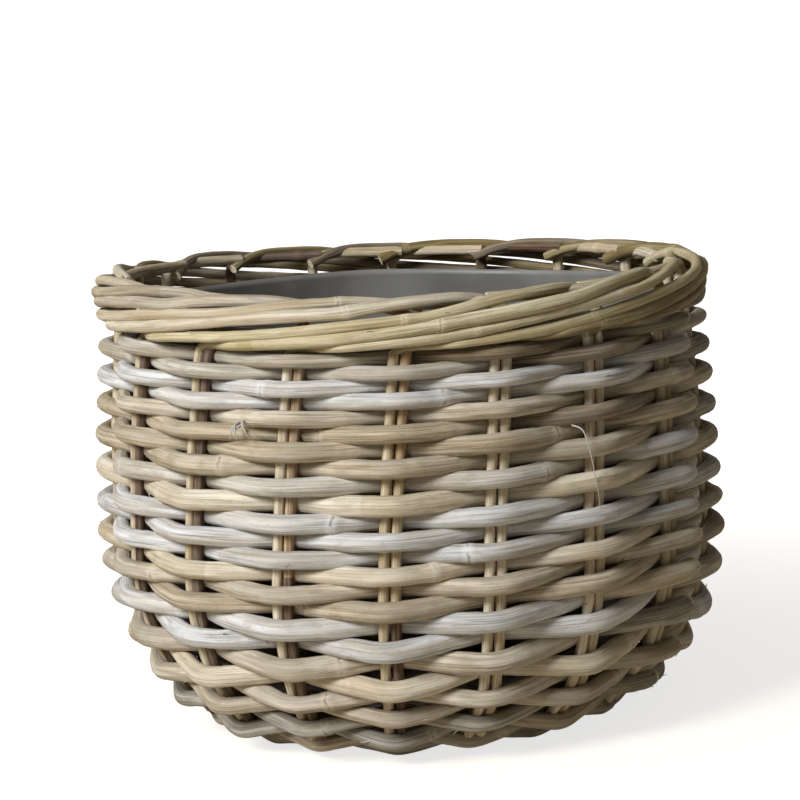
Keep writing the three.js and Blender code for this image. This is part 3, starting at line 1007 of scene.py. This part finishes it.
def upright_points(station, side):
    """From the cut tip at the foot up to the top row: side is -1 left, 1 right."""
    points = []
    radius, height = wall_points[-1]
    before = wall_points[-2]
    tip = Vector((radius - before[0], height - before[1])).normalized() * STAKE_TIP_DROP
    chain = [(radius + tip.x, height + tip.y)] + wall_points[::-1]
    for radius, height in chain:
        azimuth = station_azimuth(station, height) + side * PAIR_HALF / radius
        points.append(polar(radius, azimuth, height))
    return points


def border_point(station, along, outset, height, shift=0.0):
    radius = RIM_RADIUS + outset
    azimuth = station_azimuth(station, min(height, TOP_ROD_HEIGHT))
    return polar(radius, azimuth + along * STATION_STEP + shift / radius, height)


def left_stake(station, chance):
    """Turns right above the top row, climbs outside, and goes in over the rim."""
    points = upright_points(station, -1)
    points.append(border_point(station, 0, 0.6 * MM, RIM_HEIGHT - 3 * MM, -0.8 * PAIR_HALF))
    sway = [chance.uniform(-1, 1) for _ in range(4)]
    along = FIRST_POINT
    while along < TAIL_TURN:
        # Slow waves, whose size and start differ from stake to stake.
        lift = TAIL_SWAY * (sway[0] + sway[1] * math.sin(1.4 * along + 6 * sway[2]))
        aside = TAIL_SWAY * sway[3] * math.sin(1.9 * along + 5 * sway[1])
        height = tail_height(along) + lift * smooth_share(along)
        points.append(border_point(station, along, tail_outset(along) + aside, height))
        along += CLOSE_STEP if along < CLOSE_UNTIL else WIDE_STEP
    top = BORDER_TOP + 0.8 * MM * sway[2] - back_sag(station + TAIL_END)
    turn = TAIL_TURN + 0.15 * sway[3]
    for past, outset, drop in OVER_THE_RIM:
        points.append(border_point(station, turn + past, outset * MM, top - drop * MM))
    return points


def right_stake(station, chance):
    """Turns left on top of the rim, inside the climbing rods."""
    points = upright_points(station, 1)
    top = TOP_ROD_HEIGHT + chance.uniform(-0.8, 0.8) * MM - back_sag(station - TOP_ROD_MIDDLE)
    reach = TOP_ROD_REACH + chance.uniform(-0.06, 0.06)
    stops = [
        (0, 0, RIM_HEIGHT, PAIR_HALF),
        (0, 0, top - 14 * MM, PAIR_HALF),
        (0, -0.5 * MM, top - 6.5 * MM, 0.7 * PAIR_HALF),
        (-0.1, -1.2 * MM, top - 1.5 * MM, 0),
        (-0.3, -TOP_ROD_INSET / 3, top, 0),
        (-0.65, -TOP_ROD_INSET / 1.5, top, 0),
        (-reach, -TOP_ROD_INSET, top, 0),
    ]
    for along, outset, height, shift in stops:
        points.append(border_point(station, along, outset, height, shift))
    return points


# %% Make the stakes
def rod_on_points(points, thickness, tone, seed, pace=2.4 * MM, sides=12, fatness=None):
    sizes = {
        "Thickness": thickness,
        "Sides": sides,
        "Step": pace,
        "Seed": seed,
        "Lump": 0.05,
        "Ring Spacing": 210 * MM,
        "Ring Swell": 0.12,
    }
    return rod_along(points, sizes, tone, fatness)


# Over these millimetres of height, a stake gets thicker than its part in the wall.
THICKER_FROM = 272
THICKER_OVER = 12


def thicker_above(points, share):
    climbed = [(point.z / MM - THICKER_FROM) / THICKER_OVER for point in points]
    return [1 + (share - 1) * smooth_share(value) for value in climbed]


# The right stakes' dark and reddish stations, and the heights below which some change tone.
DARK_STATIONS = (15, 16, 8, 11)
RUST_STATIONS = (0, 17)
CHANGES_BELOW = {
    0: [(102 * MM, "bark"), (188 * MM, "stake")],
    5: [(150 * MM, "bark")],
    17: [(133 * MM, "bark")],
}
# For each station: the tone of its border rod, and how much thicker it is than a stake.
BORDER_RODS = [
    ("honey", 1.05), ("olive", 1.28), ("olive", 1.05), ("brown", 1.05), ("olive", 1.2),
    ("brown", 1.1), ("olive", 1.0), ("brown", 1.15), ("olive", 1.0), ("cream", 1.1),
    ("cream", 1.05), ("tan", 1.15), ("tan", 1.22), ("cream", 1.1), ("cream", 1.22),
    ("honey", 1.03), ("honey", 1.34), ("honey", 1.0),
]


def change_below(mesh, limit, finish):
    """Gives the part of a stake below some height another tone."""
    mesh.materials.append(finish)
    index = len(mesh.materials) - 1
    for face in mesh.polygons:
        if face.center.z < limit and face.material_index == 0:
            face.material_index = index


chance = random.Random(21)
for station in range(STATIONS):
    number = station + 1
    left = left_stake(station, chance)
    right = right_stake(station, chance)
    right_tone = "bark" if station in DARK_STATIONS else "stake"
    if station in RUST_STATIONS:
        right_tone = "rust"
    border_tone, border_share = BORDER_RODS[station]
    left_fat = thicker_above(left, border_share)
    right_fat = thicker_above(right, chance.uniform(1.0, 1.15))
    rods = [
        rod_on_points(left, STAKE_RADIUS, border_tone, 200.0 + 2 * station, fatness=left_fat),
        rod_on_points(right, STAKE_RADIUS, right_tone, 201.0 + 2 * station, fatness=right_fat),
    ]
    change_below(rods[0], RIM_HEIGHT - 6 * MM, finishes["stake"])
    for limit, tone in CHANGES_BELOW.get(station, []):
        change_below(rods[1], limit, finishes[tone])
    rods += stray_fibres(rods[0], 2, chance)
    pair = join_meshes(f"stakes_{number:02d}", rods)
    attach(pair, "root")
    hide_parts(f"stake_pair_{number:02d}")
print("stake pairs:", STATIONS)

# %% [markdown]
# ## The base
# Nine sticks cross in the middle and fan out into eighteen spokes. Finer rods are woven in
# and out of them, with the same tree as the wall: there the swing is up and down.

# %% Make the base
BASE_RADIUS = 135 * MM
BASE_HEIGHT = 14.4 * MM
BASE_CROWN = 5 * MM
BASE_STICK_RADIUS = 3.3 * MM
SLATH_REACH = 22 * MM
FAN_RADIUS = 60 * MM
STICK_GAP = 0.3 * MM
JOINT_AZIMUTH = math.radians(66)
RING_LAP = 0.1
BASE_RING_STEP = 10.6 * MM
BASE_RINGS = 6
OUTER_RING_RADIUS = 4.7 * MM
INNER_RING_RADIUS = 3.4 * MM


def crown_height(radius):
    share = min(radius / BASE_RADIUS, 1.0)
    return BASE_HEIGHT + BASE_CROWN * (1 - share * share)


def spoke_points(spoke):
    azimuth = station_azimuth(spoke, BASE_HEIGHT)
    end = rows[STAKE_ROWS - 1]
    points = []
    for share in (0.25, 0.62, 1.0):
        radius = end["radius"] + (BASE_RADIUS - end["radius"]) * share
        lift = (end["height"] - BASE_HEIGHT) * (1 - share) ** 2
        points.append(polar(radius, azimuth, BASE_HEIGHT + lift))
    points.append(polar(FAN_RADIUS, azimuth, crown_height(FAN_RADIUS)))
    return points


def stick_points(axis, lateral, layer, spokes):
    lift = layer * (BASE_STICK_RADIUS + 0.1 * MM)

    def slath_point(along):
        point = polar(along, axis, crown_height(0) + lift)
        return point + polar(lateral, axis + math.pi / 2, 0)

    points = spoke_points(spokes[0])
    points += [slath_point(SLATH_REACH), slath_point(-SLATH_REACH)]
    return points + spoke_points(spokes[1])[::-1]


half = STATIONS // 2
wide = math.ceil(half / 2)
stick_number = 0
for count, middle, layer in ((wide, 0, 1), (half - wide, half / 2, -1)):
    axis = station_azimuth(middle, BASE_HEIGHT)
    for i in range(count):
        aside = i - (count - 1) / 2
        points = stick_points(
            axis,
            aside * (2 * BASE_STICK_RADIUS + STICK_GAP),
            layer,
            (middle + aside, middle + half - aside),
        )
        stick_number += 1
        seed = 300.0 + stick_number
        mesh = rod_on_points(points, BASE_STICK_RADIUS, "tan", seed, 4 * MM, 10)
        stick = join_meshes(f"stick_{stick_number:02d}", [mesh])
        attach(stick, "root")
        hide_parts(f"base_stick_{stick_number:02d}")

for i in range(BASE_RINGS):
    radius = BASE_RADIUS - BASE_RING_STEP * (i + 1)
    thickness = OUTER_RING_RADIUS + (INNER_RING_RADIUS - OUTER_RING_RADIUS) * i / (BASE_RINGS - 1)
    sizes = {
        "Row Radius": radius,
        "Row Height": crown_height(radius),
        "Swing Out": 0.0,
        "Swing Up": -1.0,
        "Reach": thickness + BASE_STICK_RADIUS,
        "First Azimuth": JOINT_AZIMUTH - FULL_TURN - RING_LAP,
        "Last Azimuth": JOINT_AZIMUTH,
        "Station Azimuth": station_azimuth(0, BASE_HEIGHT),
        "Parity": float((ROW_COUNT + 1 + i) % 2),
        "Thickness": thickness,
        "Sides": 10,
        "Step": 3 * MM,
        "Seed": 400.0 + i,
    }
    mesh = smooth_rod(grow(weave_tree, sizes), finishes["tan"])
    rod = join_meshes(f"base_rod_{i + 1:02d}", [mesh])
    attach(rod, "root")
    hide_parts(f"base_weaver_{i + 1:02d}")
print("base:", stick_number, "sticks and", BASE_RINGS, "rings")

# %% [markdown]
# ## The liner
# A thin grey plastic pot stands inside and keeps the wet off the rattan. It is soft enough to
# crumple, so its wall and edge are a little wavy. Its outside is dark brown, which is painted
# shade: seen between the rods, it stands for the dark gaps there. Its outline is read off the
# CAD solid, which has one ring of points at each height, and turned round the axis with a small
# wobble. A Solidify modifier then gives the pot its wall, and the inside a finish of its own.

# %% Read the liner's outline
INNER_POINT_IS_WITHIN = 2 * MM
MIDDLE_OF_FLOOR = 50 * MM


def liner_outline():
    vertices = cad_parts["liner"].data.vertices
    places = {(round(math.hypot(v.co.x, v.co.y), 5), round(v.co.z, 5)) for v in vertices}
    outer = []
    for place in places:
        covered = any(
            other[0] > place[0] and math.dist(other, place) < INNER_POINT_IS_WITHIN
            for other in places
        )
        if not covered and place[0] > MIDDLE_OF_FLOOR:
            outer.append(place)
    return sorted(outer, key=lambda place: place[1])


outline = liner_outline()
print("liner outline:", [(round(r / MM, 1), round(z / MM, 1)) for r, z in outline])


# %% Make the liner
LINER_SIDES = 144
LINER_RINGS = 60
LINER_WALL = 1.2 * MM
LINER_INSET = 1.2 * MM
CRUMPLE = 0.8 * MM
EDGE_WAVE = 1.5 * MM
FLOOR_RADII = (20 * MM, 70 * MM)


def liner_finish(name, first, second):
    material, tree, surface = new_finish(name)
    cloud = clouds(tree, scale=22.0, detail=3.0)
    colour = mix_colour(ramp(cloud, 0.35, 0.65), linear(first), linear(second))
    fill(surface, {"Base Color": colour, "Roughness": times_plus(cloud, 0.2, 0.38)})
    connect(surface.inputs["Normal"], bump(cloud, strength=0.4, distance=1.5 * MM))
    return material


def liner_mesh():
    heights = [z for _, z in outline]
    radii = [r for r, _ in outline]
    profile = [(radius, heights[0]) for radius in FLOOR_RADII]
    for height in np.linspace(heights[0], heights[-1], LINER_RINGS):
        profile.append((float(np.interp(height, heights, radii)), float(height)))
    vertices = []
    for radius, height in profile:
        lift = (height - heights[0]) / (heights[-1] - heights[0])
        for i in range(LINER_SIDES):
            turn = FULL_TURN * i / LINER_SIDES
            # Waves that run round and up at once, so that no two places are alike.
            crumple = math.sin(5 * turn + 9 * height) * math.sin(3 * turn + 31 * height)
            crumple += 0.6 * math.sin(11 * turn - 40 * height)
            inset = LINER_INSET + CRUMPLE * crumple * lift
            edge = EDGE_WAVE * math.sin(4 * turn + 1) * lift**6
            vertices.append(polar(radius - inset, turn, height + edge))
    faces = []
    for ring in range(len(profile) - 1):
        for i in range(LINER_SIDES):
            a = ring * LINER_SIDES + i
            b = ring * LINER_SIDES + (i + 1) % LINER_SIDES
            faces.append((a, b, b + LINER_SIDES, a + LINER_SIDES))
    faces.append(tuple(range(LINER_SIDES))[::-1])
    mesh = bpy.data.meshes.new("liner_pot")
    mesh.from_pydata(vertices, [], faces)
    # The outside's dark browns are painted shade: seen through the rods, they stand for the dark
    # gaps between them.
    mesh.materials.append(liner_finish("liner_outside_painted_shade", "43341f", "5c492f"))
    mesh.materials.append(liner_finish("liner_plastic", "6b6965", "7c7a76"))
    mesh.polygons.foreach_set("use_smooth", [True] * len(mesh.polygons))
    return mesh


liner = join_meshes("liner_pot", [liner_mesh()])
wall = liner.modifiers.new("wall", "SOLIDIFY")
wall.thickness = LINER_WALL
wall.offset = -1
wall.material_offset = 1
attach(liner, "root")
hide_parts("liner")
print("liner faces:", len(liner.data.polygons))

# %% [markdown]
# ## Floor and light
# The basket stands on a plain pale floor in soft light: one large lamp high on the left in
# front, and a weak even sky. Its right side is lit mostly by what the floor throws back, so
# the floor is warm and not too bright there. The camera sees white under and behind the
# basket, which comes from a glow of the floor and the sky for camera rays alone.

# %% Floor
def background_share(tree):
    """1 for what the camera sees straight, mirrored or through glass, 0 for other light."""
    kind = tree.nodes.new("ShaderNodeLightPath")
    share = calc("MAXIMUM", kind.outputs["Is Camera Ray"], kind.outputs["Is Glossy Ray"])
    return calc("MAXIMUM", share, kind.outputs["Is Transmission Ray"])


FLOOR_HALF = 6.0
# How much the floor glows near the basket and far from it, and from where to where it rises.
GLOW_NEAR = 0.74
GLOW_FAR = 1.0
GLOW_RISES = (0.22, 0.75)

corners = [(x * FLOOR_HALF, y * FLOOR_HALF, 0) for x, y in ((-1, -1), (1, -1), (1, 1), (-1, 1))]
floor_mesh = bpy.data.meshes.new("floor")
floor_mesh.from_pydata(corners, [], [(0, 1, 2, 3)])
floor = bpy.data.objects.new("floor", floor_mesh)
scene.collection.objects.link(floor)
floor_paint, paint, surface = new_finish("floor_paint")
place = paint.nodes.new("ShaderNodeTexCoord").outputs["Object"]
away = add_node(paint, "ShaderNodeVectorMath", {0: place}, operation="LENGTH")
far = ramp(away.outputs["Value"], *GLOW_RISES)
white = times_plus(far, GLOW_FAR - GLOW_NEAR, GLOW_NEAR)
fill(surface, {
    "Base Color": linear("bdb19b"),
    "Roughness": 0.9,
    "Emission Color": (1, 1, 1, 1),
    "Emission Strength": product(white, background_share(paint)),
})
floor_mesh.materials.append(floor_paint)
floor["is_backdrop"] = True


# %% Light
LAMP_PLACE = Vector((-2.0, -2.1, 2.1))
LAMP_AIM = Vector((0, 0, 0.15))

lamp = bpy.data.lights.new("key", "AREA")
lamp.shape = "DISK"
lamp.size = 1.3
lamp.energy = 139
lamp.color = (0.95, 0.975, 1.0)
lamp_holder = bpy.data.objects.new("key", lamp)
scene.collection.objects.link(lamp_holder)
lamp_holder.location = LAMP_PLACE
lamp_holder.rotation_euler = (LAMP_AIM - LAMP_PLACE).to_track_quat("-Z", "Y").to_euler()

world = bpy.data.worlds.new("sky")
scene.world = world
world.use_nodes = True
sky = world.node_tree
sky.nodes.clear()
sky_out = sky.nodes.new("ShaderNodeOutputWorld")
seen = add_node(sky, "ShaderNodeBackground", {"Color": (1, 1, 1, 1), "Strength": 1.0})
lit = add_node(sky, "ShaderNodeBackground", {"Color": (1.0, 0.93, 0.8, 1), "Strength": 0.1})
values = {0: background_share(sky), 1: lit.outputs[0], 2: seen.outputs[0]}
choose = add_node(sky, "ShaderNodeMixShader", values)
sky.links.new(choose.outputs[0], sky_out.inputs["Surface"])
scene.view_settings.view_transform = "Standard"

# %% Gather the sizes and finish
visual_low, visual_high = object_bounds()
sizes = {
    "cad": [list(cad_low), list(cad_high)],
    "visual": [list(visual_low), list(visual_high)],
}
print("visual box", [round(v, 4) for v in (*visual_low, *visual_high)])
